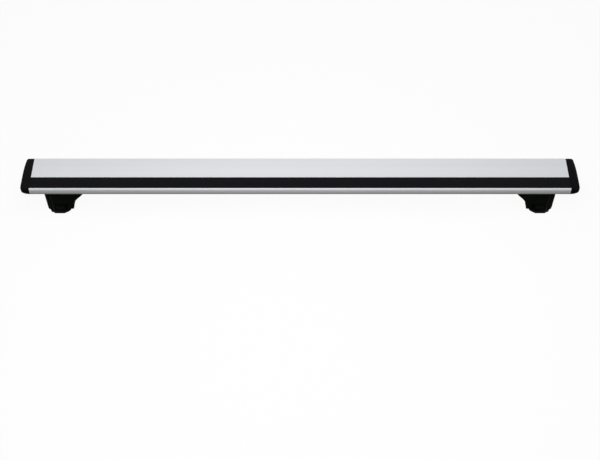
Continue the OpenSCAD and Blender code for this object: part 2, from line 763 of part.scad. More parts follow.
// Key barrel with a plain key slot in its face
key_w = 6.8;
key_h = 1.2;
key_d = 3;
face_in = 0.2;
module lock_barrel(left) {
    color("silver") mirrored(left) at_foot() translate([0, foot_y, lock_z]) difference() {
        rod_x(barrel_in, cover_out - face_in, barrel_r);
        box([cover_out - key_d, -key_w / 2, -key_h / 2], [cover_out, key_w / 2, key_h / 2]);
    }
}

// Cam, pointing down while unlocked
cam_rim = 1;
module lock_cam(left) {
    color("gray") mirrored(left) at_foot() translate([0, foot_y, lock_z]) union() {
        rod_x(cam_x, barrel_in, cam_w / 2 + cam_rim);
        box([cam_x, -cam_w / 2, -cam_reach], [barrel_in, cam_w / 2, 0]);
    }
}

bar_extrusion();
top_strip();
end_cap(true);  // end_cap_left
end_cap(false);  // end_cap_right
end_cap_screws(true);  // end_cap_screws_left
end_cap_screws(false);  // end_cap_screws_right
foot_body(true);  // foot_body_left
foot_body(false);  // foot_body_right
saddle_pad(true);  // saddle_pad_left
saddle_pad(false);  // saddle_pad_right
rail_pad(true);  // rail_pad_left
rail_pad(false);  // rail_pad_right
clamp_jaw(true);  // clamp_jaw_left
clamp_jaw(false);  // clamp_jaw_right
jaw_liner(true);  // jaw_liner_left
jaw_liner(false);  // jaw_liner_right
clamp_bolt(true);  // clamp_bolt_left
clamp_bolt(false);  // clamp_bolt_right
clamp_washer(true);  // clamp_washer_left
clamp_washer(false);  // clamp_washer_right
clamp_nut(true);  // clamp_nut_left
clamp_nut(false);  // clamp_nut_right
track_bolt(true);  // track_bolt_left
track_bolt(false);  // track_bolt_right
track_washer(true);  // track_washer_left
track_washer(false);  // track_washer_right
track_nut(true);  // track_nut_left
track_nut(false);  // track_nut_right
lock_cover(true);  // lock_cover_left
lock_cover(false);  // lock_cover_right
cover_pin(true);  // cover_pin_left
cover_pin(false);  // cover_pin_right
lock_barrel(true);  // lock_barrel_left
lock_barrel(false);  // lock_barrel_right
lock_cam(true);  // lock_cam_left
lock_cam(false);  // lock_cam_right
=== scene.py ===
# %% [markdown]
# # A roof rack crossbar, dressed for the camera
# The solids of this bar come in as a fixed frame: a hollow aluminium wing section, a rubber strip in
# its top slot, black end caps, and two feet that clamp to roof rails. Here each piece gets the edges,
# threads and finishes of the real one. Sizes are in millimetres where they are named, and in metres
# once they reach a mesh.

# %% Load the frame
import math
import bmesh
import bpy
import numpy as np
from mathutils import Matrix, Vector


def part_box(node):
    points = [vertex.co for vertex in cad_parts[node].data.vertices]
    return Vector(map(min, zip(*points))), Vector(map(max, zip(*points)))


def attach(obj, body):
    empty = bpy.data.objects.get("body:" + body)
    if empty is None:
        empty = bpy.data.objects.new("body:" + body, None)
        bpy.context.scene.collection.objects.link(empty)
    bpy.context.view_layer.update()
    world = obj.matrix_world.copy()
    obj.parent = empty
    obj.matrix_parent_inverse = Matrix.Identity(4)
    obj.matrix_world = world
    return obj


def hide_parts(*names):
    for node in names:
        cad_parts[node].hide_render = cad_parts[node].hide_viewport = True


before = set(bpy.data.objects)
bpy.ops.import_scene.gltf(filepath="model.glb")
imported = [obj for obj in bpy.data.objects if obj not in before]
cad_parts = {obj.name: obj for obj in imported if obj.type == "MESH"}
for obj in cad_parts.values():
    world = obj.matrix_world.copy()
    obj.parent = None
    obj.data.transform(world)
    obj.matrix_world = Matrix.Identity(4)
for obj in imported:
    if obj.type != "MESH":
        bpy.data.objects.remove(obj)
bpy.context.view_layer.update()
MM = 0.001
SIDES = {"right": 1, "left": -1}

# %% [markdown]
# ## The camera
# The picture looks down on the bar from in front, at fifty degrees. The slanted ends of the square-cut
# bar give the distance: the rear edge is farther away, so it looks shorter. The bar lies above the
# middle of the picture, so the camera turns down a little more than that, past the bar.

# %% Camera at the picture's angle
IMAGE_W, IMAGE_H = 600, 460
ELEVATION = 50.0
DISTANCE = 2.324
SENSOR = 36.0
# Pixels from left to right over one metre at the bar's distance, and the bar's row in the picture
SCALE_PX = 466.2
BAR_ROW = 173.8

focal_px = SCALE_PX * DISTANCE
bar_low, bar_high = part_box("bar_extrusion")
aim = Vector((0.0, (bar_low.y + bar_high.y) / 2, bar_high.z))
tilt = math.atan((IMAGE_H / 2 - BAR_ROW) / focal_px)
rise = math.radians(ELEVATION)
camera_data = bpy.data.cameras.new("camera")
camera_data.sensor_width = SENSOR
camera_data.lens = SENSOR * focal_px / IMAGE_W
camera = bpy.data.objects.new("camera", camera_data)
bpy.context.scene.collection.objects.link(camera)
camera.location = aim + DISTANCE * Vector((0, -math.cos(rise), math.sin(rise)))
camera.rotation_euler = (math.pi / 2 - rise - tilt, 0, 0)
bpy.context.scene.camera = camera
print("lens", round(camera_data.lens, 1), "mm, turned down", round(math.degrees(tilt), 2), "degrees more")

# %% [markdown]
# ## Helpers for surfaces
# A swept piece is an outline carried along the bar. A turned piece is a row of rings round an axis,
# where the radius may change with the angle, so that one grid makes a thread, a knurl and a hexagon
# socket. Both are computed as whole arrays and then put into a mesh.

# %% Grid to mesh
def surface(name, points, caps=False, sharp=35.0):
    """A mesh on a grid of points (rows, columns, 3). The columns close on themselves. With caps, the
    first and last rows are closed by one face each. Edges sharper than the angle stay sharp."""
    rows, columns = points.shape[:2]
    index = np.arange(rows * columns).reshape(rows, columns)
    index = np.concatenate([index, index[:, :1]], axis=1)
    quads = np.stack([index[:-1, :-1], index[1:, :-1], index[1:, 1:], index[:-1, 1:]], axis=-1)
    faces = quads.reshape(-1, 4).tolist()
    if caps:
        faces += [index[0, :-1].tolist(), index[-1, -2::-1].tolist()]
    mesh = bpy.data.meshes.new(name)
    mesh.from_pydata(points.reshape(-1, 3).tolist(), [], faces)
    bm = bmesh.new()
    bm.from_mesh(mesh)
    bmesh.ops.remove_doubles(bm, verts=bm.verts, dist=1e-7)
    bmesh.ops.dissolve_degenerate(bm, edges=bm.edges, dist=1e-7)
    bmesh.ops.recalc_face_normals(bm, faces=bm.faces)
    bm.to_mesh(mesh)
    bm.free()
    mesh.shade_smooth()
    mesh.set_sharp_from_angle(angle=math.radians(sharp))
    piece = bpy.data.objects.new(name, mesh)
    bpy.context.scene.collection.objects.link(piece)
    return piece


def swept(name, outline, x0, x1, sharp=35.0):
    """The outline, (n, 2) points of Y and Z in millimetres, carried along X from x0 to x1."""
    rings = [np.column_stack([np.full(len(outline), x), outline]) for x in (x0, x1)]
    return surface(name, np.array(rings) * MM, caps=True, sharp=sharp)


def fillet(before, corner, after, radius, steps=4):
    """Points of a quadratic curve that rounds one corner, starting and ending radius away from it."""
    before, corner, after = (np.array(p, float) for p in (before, corner, after))
    start = corner + (before - corner) / np.linalg.norm(before - corner) * radius
    end = corner + (after - corner) / np.linalg.norm(after - corner) * radius
    t = np.linspace(0, 1, steps + 1)[:, None]
    return (1 - t) ** 2 * start + 2 * t * (1 - t) * corner + t**2 * end


def rounded(points, radius):
    """A closed or open run of corners, each rounded by the same radius, apart from the two ends."""
    runs = [fillet(points[i - 1], points[i], points[i + 1], radius) for i in range(1, len(points) - 1)]
    return np.concatenate([np.array(points[:1], float), *runs, np.array(points[-1:], float)])


def arc(centre, radii, start, end, steps):
    """Points of an elliptical arc: centre plus radii times the cosine and sine of the angle."""
    angle = np.radians(np.linspace(start, end, steps + 1))
    return np.column_stack([centre[0] + radii[0] * np.cos(angle), centre[1] + radii[1] * np.sin(angle)])


# %% [markdown]
# ## Dressing a solid
# Moulded and cast pieces are right as solids, but nothing real has knife edges. A copy of the solid
# is welded, its flat faces are joined again, and every edge sharper than the limit gets a small bevel
# that catches the light. The copy stands for the solid and moves with it.

# %% Copy with soft edges
# Angles in degrees: an edge sharper than the first is bevelled, faces flatter than the second are joined
SHARP_EDGE, FLAT_JOIN = 30.0, 0.3
WELD = 2e-6


def softened(node, body, finish, edge, slot):
    """A copy of a solid with its edges rounded by a bevel of that many millimetres."""
    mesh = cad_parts[node].data.copy()
    bm = bmesh.new()
    bm.from_mesh(mesh)
    bmesh.ops.remove_doubles(bm, verts=bm.verts, dist=WELD)
    bmesh.ops.dissolve_limit(bm, angle_limit=math.radians(FLAT_JOIN), verts=bm.verts, edges=bm.edges)
    bm.to_mesh(mesh)
    bm.free()
    mesh.materials.clear()
    mesh.materials.append(finish)
    mesh.shade_smooth()
    piece = bpy.data.objects.new(node + ".dressed", mesh)
    bpy.context.scene.collection.objects.link(piece)
    bevel = piece.modifiers.new("edges", "BEVEL")
    bevel.width = edge * MM
    bevel.segments = 2
    bevel.limit_method = "ANGLE"
    bevel.angle_limit = math.radians(SHARP_EDGE)
    bevel.harden_normals = True
    return place(piece, body, slot, node)


def place(piece, body, slot, *nodes):
    """The piece rides on its body and stands for those solids, which it hides. The slot is not used."""
    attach(piece, body)
    if nodes:
        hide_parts(*nodes)
    return piece


# %% [markdown]
# ## Finishes
# The bar is satin anodised aluminium: a metal whose fine draw lines run along it, because it was
# pressed through a die. The black pieces are moulded plastic with a leathery grain, rubber that is
# duller, and a powder-coated casting. The big bolts are black, nuts, washers and the caps' screws are
# zinc plated, and the lock's face is nickel. Every pattern is in millimetres of the object, so it keeps
# its scale on each piece.

# %% Node helpers
def material(name, colour, rough, metal=0.0, specular=0.5):
    """A new principled material, with its shader and its object coordinates."""
    made = bpy.data.materials.new(name)
    made.use_nodes = True
    made.diffuse_color = (*colour, 1)
    nodes = made.node_tree.nodes
    shader = nodes["Principled BSDF"]
    shader.inputs["Base Color"].default_value = (*colour, 1)
    shader.inputs["Roughness"].default_value = rough
    shader.inputs["Metallic"].default_value = metal
    shader.inputs["Specular IOR Level"].default_value = specular
    return made, shader, nodes.new("ShaderNodeTexCoord").outputs["Object"]


def noise(made, vector, scale, stretch=(1, 1, 1), detail=3.0, rough=0.5):
    """Noise of that many cells to the metre, stretched by the mapping's scale."""
    nodes, links = made.node_tree.nodes, made.node_tree.links
    mapping = nodes.new("ShaderNodeMapping")
    mapping.inputs["Scale"].default_value = stretch
    links.new(vector, mapping.inputs["Vector"])
    pattern = nodes.new("ShaderNodeTexNoise")
    pattern.inputs["Scale"].default_value = scale
    pattern.inputs["Detail"].default_value = detail
    pattern.inputs["Roughness"].default_value = rough
    links.new(mapping.outputs["Vector"], pattern.inputs["Vector"])
    return pattern.outputs["Fac"]


def spread(made, value, low, high, start=0.3, end=0.7):
    """The value between start and end, mapped to between low and high."""
    nodes, links = made.node_tree.nodes, made.node_tree.links
    mapped = nodes.new("ShaderNodeMapRange")
    for key, number in (("From Min", start), ("From Max", end), ("To Min", low), ("To Max", high)):
        mapped.inputs[key].default_value = number
    links.new(value, mapped.inputs["Value"])
    return mapped.outputs["Result"]


def tint(made, shader, value, dark, light):
    """The value, from 0 to 1, runs the base colour from dark to light."""
    nodes, links = made.node_tree.nodes, made.node_tree.links
    ramp = nodes.new("ShaderNodeValToRGB")
    ramp.color_ramp.elements[0].position = 0.3
    ramp.color_ramp.elements[1].position = 0.7
    ramp.color_ramp.elements[0].color = (*dark, 1)
    ramp.color_ramp.elements[1].color = (*light, 1)
    links.new(value, ramp.inputs["Fac"])
    links.new(ramp.outputs["Color"], shader.inputs["Base Color"])


def bump(made, shader, height, distance, under=None):
    """Bump of that many millimetres, on top of the normal of another bump if one is given."""
    nodes, links = made.node_tree.nodes, made.node_tree.links
    node = nodes.new("ShaderNodeBump")
    node.inputs["Distance"].default_value = distance * MM
    node.inputs["Strength"].default_value = 1.0
    links.new(height, node.inputs["Height"])
    if under is not None:
        links.new(under, node.inputs["Normal"])
    links.new(node.outputs["Normal"], shader.inputs["Normal"])
    return node.outputs["Normal"]


# %% Anodised aluminium
BAR_GREY = (0.765, 0.775, 0.800)
BAR_GREY_DARK = (0.730, 0.742, 0.768)
EDGE_GREY = (0.14, 0.17, 0.13)
BAR_METAL = 0.35


def anodised():
    """Satin metal: long soft bands from the die, fine lines along X and a hint of cloud in the finish."""
    made, shader, at = material("anodised_aluminium", BAR_GREY, 0.33, metal=BAR_METAL)
    shader.inputs["Specular Tint"].default_value = (*EDGE_GREY, 1)
    links = made.node_tree.links
    bands = noise(made, at, 60, stretch=(0.012, 1, 1), detail=2)
    lines = noise(made, at, 900, stretch=(0.004, 1, 1), detail=4, rough=0.7)
    cloud = noise(made, at, 9, detail=2)
    tint(made, shader, bands, BAR_GREY_DARK, BAR_GREY)
    links.new(spread(made, cloud, 0.30, 0.36), shader.inputs["Roughness"])
    bump(made, shader, lines, 0.012)
    return made


# %% Rubber and plastics
def strip_rubber():
    """Extruded rubber: deep black, dull, with faint flow lines along X and a fine dust of pits."""
    made, shader, at = material("strip_rubber", (0.0062, 0.0058, 0.0075), 0.62, specular=0.07)
    flow = noise(made, at, 700, stretch=(0.01, 1, 1), detail=3)
    pits = noise(made, at, 2600, detail=2)
    made.node_tree.links.new(spread(made, flow, 0.54, 0.70), shader.inputs["Roughness"])
    tint(made, shader, flow, (0.0030, 0.0027, 0.0040), (0.0046, 0.0043, 0.0062))
    under = bump(made, shader, flow, 0.02)
    bump(made, shader, pits, 0.012, under=under)
    return made


def moulded_plastic(name, colour, rough, grain=0.035, cells=1500, specular=0.12):
    """Moulded plastic: a leathery grain of small cells, a little cloud in colour and gloss."""
    made, shader, at = material(name, colour, rough, specular=specular)
    nodes, links = made.node_tree.nodes, made.node_tree.links
    leather = nodes.new("ShaderNodeTexVoronoi")
    leather.feature = "SMOOTH_F1"
    leather.inputs["Scale"].default_value = cells
    links.new(at, leather.inputs["Vector"])
    cloud = noise(made, at, 40, detail=3)
    tint(made, shader, cloud, tuple(0.82 * c for c in colour), tuple(1.15 * c for c in colour))
    links.new(spread(made, cloud, rough - 0.05, rough + 0.06), shader.inputs["Roughness"])
    fine = noise(made, at, cells * 2, detail=2)
    under = bump(made, shader, leather.outputs["Distance"], grain)
    bump(made, shader, fine, grain / 3, under=under)
    return made


def pad_rubber():
    """Moulded rubber: dull, with a faint dust that varies at random."""
    made, shader, at = material("pad_rubber", (0.008, 0.008, 0.0078), 0.78, specular=0.08)
    dust = noise(made, at, 120, detail=4, rough=0.65)
    tint(made, shader, dust, (0.006, 0.006, 0.006), (0.013, 0.0128, 0.0122))
    bump(made, shader, noise(made, at, 1800, detail=3), 0.03)
    return made


def powder_coat():
    """Black powder coat on a casting: orange peel a millimetre or so across, and a slight gloss."""
    made, shader, at = material("powder_coat", (0.0035, 0.0038, 0.0035), 0.42, specular=0.12)
    peel = noise(made, at, 650, detail=2)
    made.node_tree.links.new(spread(made, noise(made, at, 70), 0.36, 0.5), shader.inputs["Roughness"])
    bump(made, shader, peel, 0.05)
    return made


# %% Metals of the small parts
def plated(name, colour, rough, cells=500):
    """Plated steel: a mottled sheen, slightly duller in its hollows."""
    made, shader, at = material(name, colour, rough, metal=1.0)
    mottle = noise(made, at, cells, detail=4, rough=0.6)
    tint(made, shader, mottle, tuple(0.8 * c for c in colour), colour)
    made.node_tree.links.new(spread(made, mottle, rough + 0.08, rough - 0.05), shader.inputs["Roughness"])
    bump(made, shader, mottle, 0.01)
    return made


ALUMINIUM = anodised()
STRIP = strip_rubber()
CAP = moulded_plastic("cap_plastic", (0.0031, 0.0030, 0.0037), 0.42, specular=0.045)
FOOT = moulded_plastic("foot_plastic", (0.0018, 0.0028, 0.0019), 0.50, grain=0.05, cells=1100, specular=0.05)
COVER = moulded_plastic("cover_plastic", (0.0020, 0.0028, 0.0021), 0.44, specular=0.06)
PAD = pad_rubber()
CASTING = powder_coat()
ZINC = plated("zinc_plate", (0.52, 0.51, 0.47), 0.34)
BLACK_STEEL = plated("black_bolt_steel", (0.055, 0.055, 0.06), 0.32)
NICKEL = plated("nickel_plate", (0.62, 0.61, 0.58), 0.22, cells=300)
print("finishes:", len(bpy.data.materials))

# %% [markdown]
# ## The wing bar
# The bar is one long extrusion: a tight rounding above its front edge, a long lower curve, a belly
# that rises like a cosine to a thin rear edge, and a flat top with a slot for the rubber strip. An
# outline carried along X is how the real one is made. The outline follows the solid's own formulas
# with more points, and the edges of its slots get the small radii that a die leaves.

# %% The bar's outline
CHORD = (bar_high.y - bar_low.y) / MM
BAR_H = (bar_high.z - bar_low.z) / MM
BAR_Z = bar_low.z / MM
HALF_LEN = bar_high.x / MM
BELLY_AT, NOSE_Z, NOSE_LEN, TAIL_R, TAIL_ANGLE = 30.0, 17.0, 4.0, 2.5, -57.0
STRIP_W, STRIP_T, FRONT_LAND = 30.0, 2.2, 0.6
MOUTH_W, CAVITY_W, CAVITY_H, LIP_T = 11.0, 20.0, 8.0, 2.5
TRACK_Y, TRACK_MOUTH, TRACK_W, TRACK_H, TRACK_FLOOR = -6.0, 9.0, 18.0, 6.5, 4.8
DIE_RADIUS = 0.35
# How much of the land in front of the strip is drawn before the nose begins
LAND_RUN = 0.55

nose_y, tail_y = -CHORD / 2, CHORD / 2
belly_y = nose_y + BELLY_AT
strip_y0 = nose_y + NOSE_LEN + FRONT_LAND
strip_y1 = strip_y0 + STRIP_W
slot_y = strip_y0 + STRIP_W / 2
lip_z = BAR_H - STRIP_T - LIP_T
tail_c = np.array([tail_y - TAIL_R, BAR_H - TAIL_R])
tail_turn = math.radians(TAIL_ANGLE)
tail_end = tail_c + TAIL_R * np.array([math.cos(tail_turn), math.sin(tail_turn)])


def belly(y):
    """Height of the underside behind the belly's lowest line: one minus the cosine of a quarter turn."""
    return tail_end[1] * (1 - np.cos(np.pi / 2 * (y - belly_y) / (tail_end[0] - belly_y)))


def belly_run(y0, y1, steps):
    """Points of the underside from y0 to y1."""
    y = np.linspace(y0, y1, steps + 1)
    return np.column_stack([y, belly(y)])


def bar_outline():
    """The section, from the top of the nose round the front, the belly, the tail and back over the top."""
    m0, m1 = TRACK_Y - TRACK_MOUTH / 2, TRACK_Y + TRACK_MOUTH / 2
    c0, c1 = TRACK_Y - TRACK_W / 2, TRACK_Y + TRACK_W / 2
    roof = TRACK_FLOOR + TRACK_H
    channel = [(m0 - 1, belly(m0 - 1)), (m0, belly(m0)), (m0, TRACK_FLOOR), (c0, TRACK_FLOOR), (c0, roof),
               (c1, roof), (c1, TRACK_FLOOR), (m1, TRACK_FLOOR), (m1, belly(m1)), (m1 + 1, belly(m1 + 1))]
    base, cavity_z = BAR_H - STRIP_T, lip_z - CAVITY_H
    right = [(strip_y1 + 1, BAR_H), (strip_y1, BAR_H), (strip_y1, base), (slot_y + MOUTH_W / 2, base),
             (slot_y + MOUTH_W / 2, lip_z), (slot_y + CAVITY_W / 2, lip_z), (slot_y + CAVITY_W / 2, cavity_z)]
    mirrored = [(2 * slot_y - y, z) for y, z in right[::-1]]
    left = mirrored[:-2] + [(strip_y0, BAR_H), (strip_y0 - LAND_RUN, BAR_H)]
    return np.concatenate([
        arc((nose_y + NOSE_LEN, NOSE_Z), (NOSE_LEN, BAR_H - NOSE_Z), 92, 180, 24)[:-1],
        arc((belly_y, NOSE_Z), (BELLY_AT, NOSE_Z), 180, 270, 40),
        rounded(channel, DIE_RADIUS),
        belly_run(m1 + 2, tail_end[0], 44)[:-1],
        arc(tail_c, (TAIL_R, TAIL_R), TAIL_ANGLE, 90, 16),
        rounded(right + left, DIE_RADIUS * 0.7)])


outline = bar_outline()
wing = swept("wing_bar", outline + np.array([0, BAR_Z]), -HALF_LEN, HALF_LEN, sharp=25)
wing.data.materials.append(ALUMINIUM)
place(wing, "bar", "bar_aluminium", "bar_extrusion")
print("bar outline:", len(outline), "points, section", round(CHORD, 1), "x", round(BAR_H, 1), "mm")

# %% [markdown]
# ## The rubber strip
# The strip is extruded too. Its top has a low crown and fine ribs along it, which grip a load, and its
# two barbed legs snap under the lips of the slot. The ribs are a cosine added to the crown.

# %% The strip
SIDE_GAP, BASE_GAP, END_GAP = 0.15, 0.02, 0.3
CROWN = 0.25
RIB_PITCH, RIB_DEPTH, RIB_FADE = 2.1, 0.22, 1.5
EDGE_DROP, EDGE_W = 0.35, 0.4
BARB, BARB_H, LEG_T = 0.9, 3.0, 2.2
STRIP_RADIUS = 0.25


def strip_outline():
    """The strip's section: flat underneath, legs with barbs, and a ribbed crown that fades at its edges."""
    half, base, top = STRIP_W / 2 - SIDE_GAP, BAR_H - STRIP_T + BASE_GAP, lip_z - SIDE_GAP
    out = MOUTH_W / 2 - SIDE_GAP
    leg = [(out - LEG_T, base), (out - LEG_T, top - BARB_H), (out, top - BARB_H),
           (out + BARB, top - BARB_H / 4), (out + BARB, top), (out, top), (out, base)]
    right = leg + [(half, base), (half, base + EDGE_W)]
    under = [(-y, z) for y, z in right[::-1]] + right
    y = np.linspace(half, -half, 161)
    fade = np.clip((half - np.abs(y)) / RIB_FADE, 0, 1)
    rib = RIB_DEPTH * fade * (0.5 - 0.5 * np.cos(2 * np.pi * y / RIB_PITCH))
    edge = EDGE_DROP * np.clip(1 - (half - np.abs(y)) / EDGE_W, 0, 1) ** 2
    crown = np.column_stack([y, BAR_H - CROWN * (y / half) ** 2 - rib - edge])
    return np.concatenate([rounded(under, STRIP_RADIUS), crown]) + np.array([slot_y, 0])


strip_end = HALF_LEN - END_GAP
strip = swept("ribbed_strip", strip_outline() + np.array([0, BAR_Z]), -strip_end, strip_end, sharp=50)
strip.data.materials.append(STRIP)
place(strip, "bar", "strip_rubber", "top_strip")
print("strip:", round(STRIP_W - 2 * SIDE_GAP, 2), "mm wide,", int(STRIP_W / RIB_PITCH), "ribs")

# %% [markdown]
# ## Moulded and cast pieces
# The end caps, feet, covers, jaws and pads keep the solids' own shapes. Each gets the edge radius that
# its process leaves: about half a millimetre on moulded plastic, more on the casting, less on rubber.

# %% Caps, feet, jaws and covers
DRESSED = [
    ("end_cap", "bar", CAP, 0.5, "cap_plastic"),
    ("foot_body", "foot", FOOT, 0.6, "foot_plastic"),
    ("clamp_jaw", "jaw", CASTING, 0.7, "jaw_casting"),
    ("lock_cover", "cover", COVER, 0.35, "cover_plastic"),
    ("rail_pad", "foot", PAD, 0.25, "pad_rubber"),
    ("jaw_liner", "jaw", PAD, 0.25, "pad_rubber"),
    ("saddle_pad", "foot", PAD, 0.2, "pad_rubber"),
    ("track_nut", "foot", ZINC, 0.3, "steel"),
    ("clamp_nut", "foot", ZINC, 0.3, "steel"),
    ("lock_barrel", "lock", NICKEL, 0.25, "lock_metal"),
    ("lock_cam", "lock", ZINC, 0.15, "steel"),
]
for name, body, finish, edge, slot in DRESSED:
    for side in SIDES:
        on = body if body == "bar" else f"{body}_{side}"
        softened(f"{name}_{side}", on, finish, edge, slot)
print("dressed pieces:", 2 * len(DRESSED))

# %% Solids that only need a finish
PLAIN = ["clamp_washer", "track_washer", "cover_pin"]
for name in PLAIN:
    for side in SIDES:
        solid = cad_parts[f"{name}_{side}"]
        solid.data.materials.clear()
        solid.data.materials.append(ZINC)
        solid.data.shade_smooth()
        solid.data.set_sharp_from_angle(angle=math.radians(SHARP_EDGE))

# %% [markdown]
# ## Bolts with threads
# A bolt is turned, rolled and pressed: a thread, a plain neck, a knurled head and a hexagon socket.
# All of it is one surface of rings round the axis. In the thread the radius falls and rises with the
# place along the axis plus the angle, one pitch a turn. In the socket the radius is a hexagon's.

# %% Rings round an axis
TURN = np.linspace(0, 2 * np.pi, 180, endpoint=False)
# Outer radius, depth and pitch
BOLT_THREAD = (4.0, 0.55, 1.25)
NECK_R = 3.85


def hexagon(flat):
    """Radius of a hexagon with that distance from its centre to a flat, at each angle."""
    return flat / np.cos((TURN + np.pi / 6) % (np.pi / 3) - np.pi / 6)


def thread_rings(start, end, radius, depth, pitch, steps=9):
    """Rings of a rolled thread from start to end: a triangle wave of place and angle, rounded by a power.
    The thread has that outer radius, depth and pitch, and fades out over one pitch at its ends."""
    along = np.arange(start, end, pitch / steps)
    phase = (along[:, None] / pitch - TURN[None, :] / (2 * np.pi)) % 1.0
    groove = depth * (1 - np.abs(2 * phase - 1)) ** 0.9
    fade = np.clip(np.minimum(along - start, end - along) / pitch, 0, 1)[:, None]
    return along, radius - groove * fade - 0.15 * (1 - fade)


def turned(name, rows, centre, axis):
    """A closed piece from rows of (place along the axis, radius), where a radius is a number or one for
    each angle. The axis is +X, -X or +Z, and the centre is in millimetres."""
    along = np.array([row[0] for row in rows], float)
    radius = np.array([np.broadcast_to(row[1], TURN.shape) for row in rows], float)
    u, v = radius * np.cos(TURN), radius * np.sin(TURN)
    w = np.broadcast_to(along[:, None], radius.shape)
    grid = {"+X": (w, u, v), "-X": (-w, u, v), "+Z": (u, v, w)}[axis]
    points = (np.stack(grid, axis=-1) + np.array(centre)) * MM
    return surface(name, points, sharp=40)


# %% Clamp bolts
HEAD_R, HEAD_H, SOCKET_FLAT, SOCKET_DEPTH = 6.5, 8.0, 3.2, 4.2
KNURLS, KNURL_DEPTH = 36, 0.16
CLAMP_THREAD_LEN = 30.0
for side, sign in SIDES.items():
    low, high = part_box(f"clamp_bolt_{side}")
    middle = (low + high) / 2 / MM
    reach = (high.x - low.x) / MM
    head, socket = reach - HEAD_H, reach - SOCKET_DEPTH
    along, radius = thread_rings(1.0, CLAMP_THREAD_LEN, *BOLT_THREAD)
    knurl = HEAD_R - KNURL_DEPTH * np.abs(np.sin(KNURLS / 2 * TURN))
    rows = [(0, 0), (0, 3.1)] + list(zip(along, radius)) + [
        (CLAMP_THREAD_LEN + 0.2, NECK_R), (head, NECK_R), (head, HEAD_R - 0.5), (head + 0.4, HEAD_R - 0.1),
        (head + 0.8, knurl), (reach - 1.2, knurl), (reach - 0.8, HEAD_R - 0.1), (reach, HEAD_R - 0.7),
        (reach, hexagon(SOCKET_FLAT + 0.35)),
        (reach - 0.4, hexagon(SOCKET_FLAT)), (socket, hexagon(SOCKET_FLAT)), (socket - 1, 0)]
    tip, axis = (low.x / MM, "+X") if sign > 0 else (high.x / MM, "-X")
    bolt = turned(f"threaded_clamp_bolt_{side}", rows, (tip, middle.y, middle.z), axis)
    bolt.data.materials.append(BLACK_STEEL)
    place(bolt, f"bolt_{side}", "steel", f"clamp_bolt_{side}")
print("clamp bolt:", round(reach, 1), "mm long")

# %% [markdown]
# ## Track bolts
# The bolt that holds each foot hangs in the channel by a flat head, so its thread and its head are two
# surfaces of one piece: the threaded shank is made of rings, and the head is a plate with round edges.

# %% Track bolts
TRACK_NECK_R, TRACK_HEAD_H, PLATE_CORNER, PLATE_EDGE = 3.9, 4.6, 1.0, 0.4
for side in SIDES:
    low, high = (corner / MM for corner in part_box(f"track_bolt_{side}"))
    middle = (low + high) / 2
    head_low = high.z - TRACK_HEAD_H
    reach = head_low - low.z
    along, radius = thread_rings(0.8, reach - 3, *BOLT_THREAD)
    neck = [(reach - 2.8, TRACK_NECK_R), (reach + 1, TRACK_NECK_R), (reach + 1, 0)]
    rows = [(0, 0), (0, 3.2)] + list(zip(along, radius)) + neck
    shank = turned(f"threaded_track_bolt_{side}", rows, (middle.x, middle.y, low.z), "+Z")
    half_x, half_y = (high.x - low.x) / 2, (high.y - low.y) / 2
    plate = rounded([(0, -half_y), (half_x, -half_y), (half_x, half_y), (-half_x, half_y),
                     (-half_x, -half_y), (0, -half_y)], PLATE_CORNER)[:-1]
    inner = plate * (1 - PLATE_EDGE / half_y)
    layers = [(inner, head_low), (plate, head_low + PLATE_EDGE),
              (plate, high.z - PLATE_EDGE), (inner, high.z)]
    rings = [np.column_stack([ring + (middle.x, middle.y), np.full(len(ring), z)]) for ring, z in layers]
    head = surface(f"track_bolt_head_{side}", np.array(rings) * MM, caps=True)
    for piece in (shank, head):
        piece.data.materials.append(BLACK_STEEL)
        place(piece, f"foot_{side}", "steel", f"track_bolt_{side}")

# %% [markdown]
# ## The caps' screws
# Two screws hold each cap, one near the front and low, one near the rear and high, so they lie in two
# opposite corners of their common box. A socket screw has a rounded head, and its hexagon is deep enough
# to look dark.

# %% End cap screws
SCREW_THREAD = (2.0, 0.3, 0.7)
SCREW_HEAD_R, SCREW_HEAD_H, SCREW_NECK_R = 4.0, 2.4, 1.9
SCREW_SOCKET, SCREW_SOCKET_DEPTH = 1.7, 1.9
for side, sign in SIDES.items():
    low, high = (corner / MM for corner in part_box(f"end_cap_screws_{side}"))
    reach = high.x - low.x
    head, socket = reach - SCREW_HEAD_H, reach - SCREW_SOCKET_DEPTH
    along, radius = thread_rings(0.5, head - 1, *SCREW_THREAD, steps=4)
    rows = [(0, 0), (0, 1.6)] + list(zip(along, radius)) + [
        (head, SCREW_NECK_R), (head, SCREW_HEAD_R - 0.3), (head + 0.3, SCREW_HEAD_R),
        (reach - 0.8, SCREW_HEAD_R), (reach - 0.3, SCREW_HEAD_R - 0.2), (reach, SCREW_HEAD_R - 0.7),
        (reach, hexagon(SCREW_SOCKET + 0.15)),
        (reach - 0.2, hexagon(SCREW_SOCKET)), (socket, hexagon(SCREW_SOCKET)), (socket - 0.4, 0)]
    tip, axis = (low.x, "+X") if sign > 0 else (high.x, "-X")
    seats = {"front": (low.y + SCREW_HEAD_R, low.z + SCREW_HEAD_R),
             "rear": (high.y - SCREW_HEAD_R, high.z - SCREW_HEAD_R)}
    for end, (y, z) in seats.items():
        screw = turned(f"cap_screw_{end}_{side}", rows, (tip, y, z), axis)
        screw.data.materials.append(ZINC)
        place(screw, "bar", "steel", f"end_cap_screws_{side}")
print("cap screw:", round(reach, 1), "mm long")
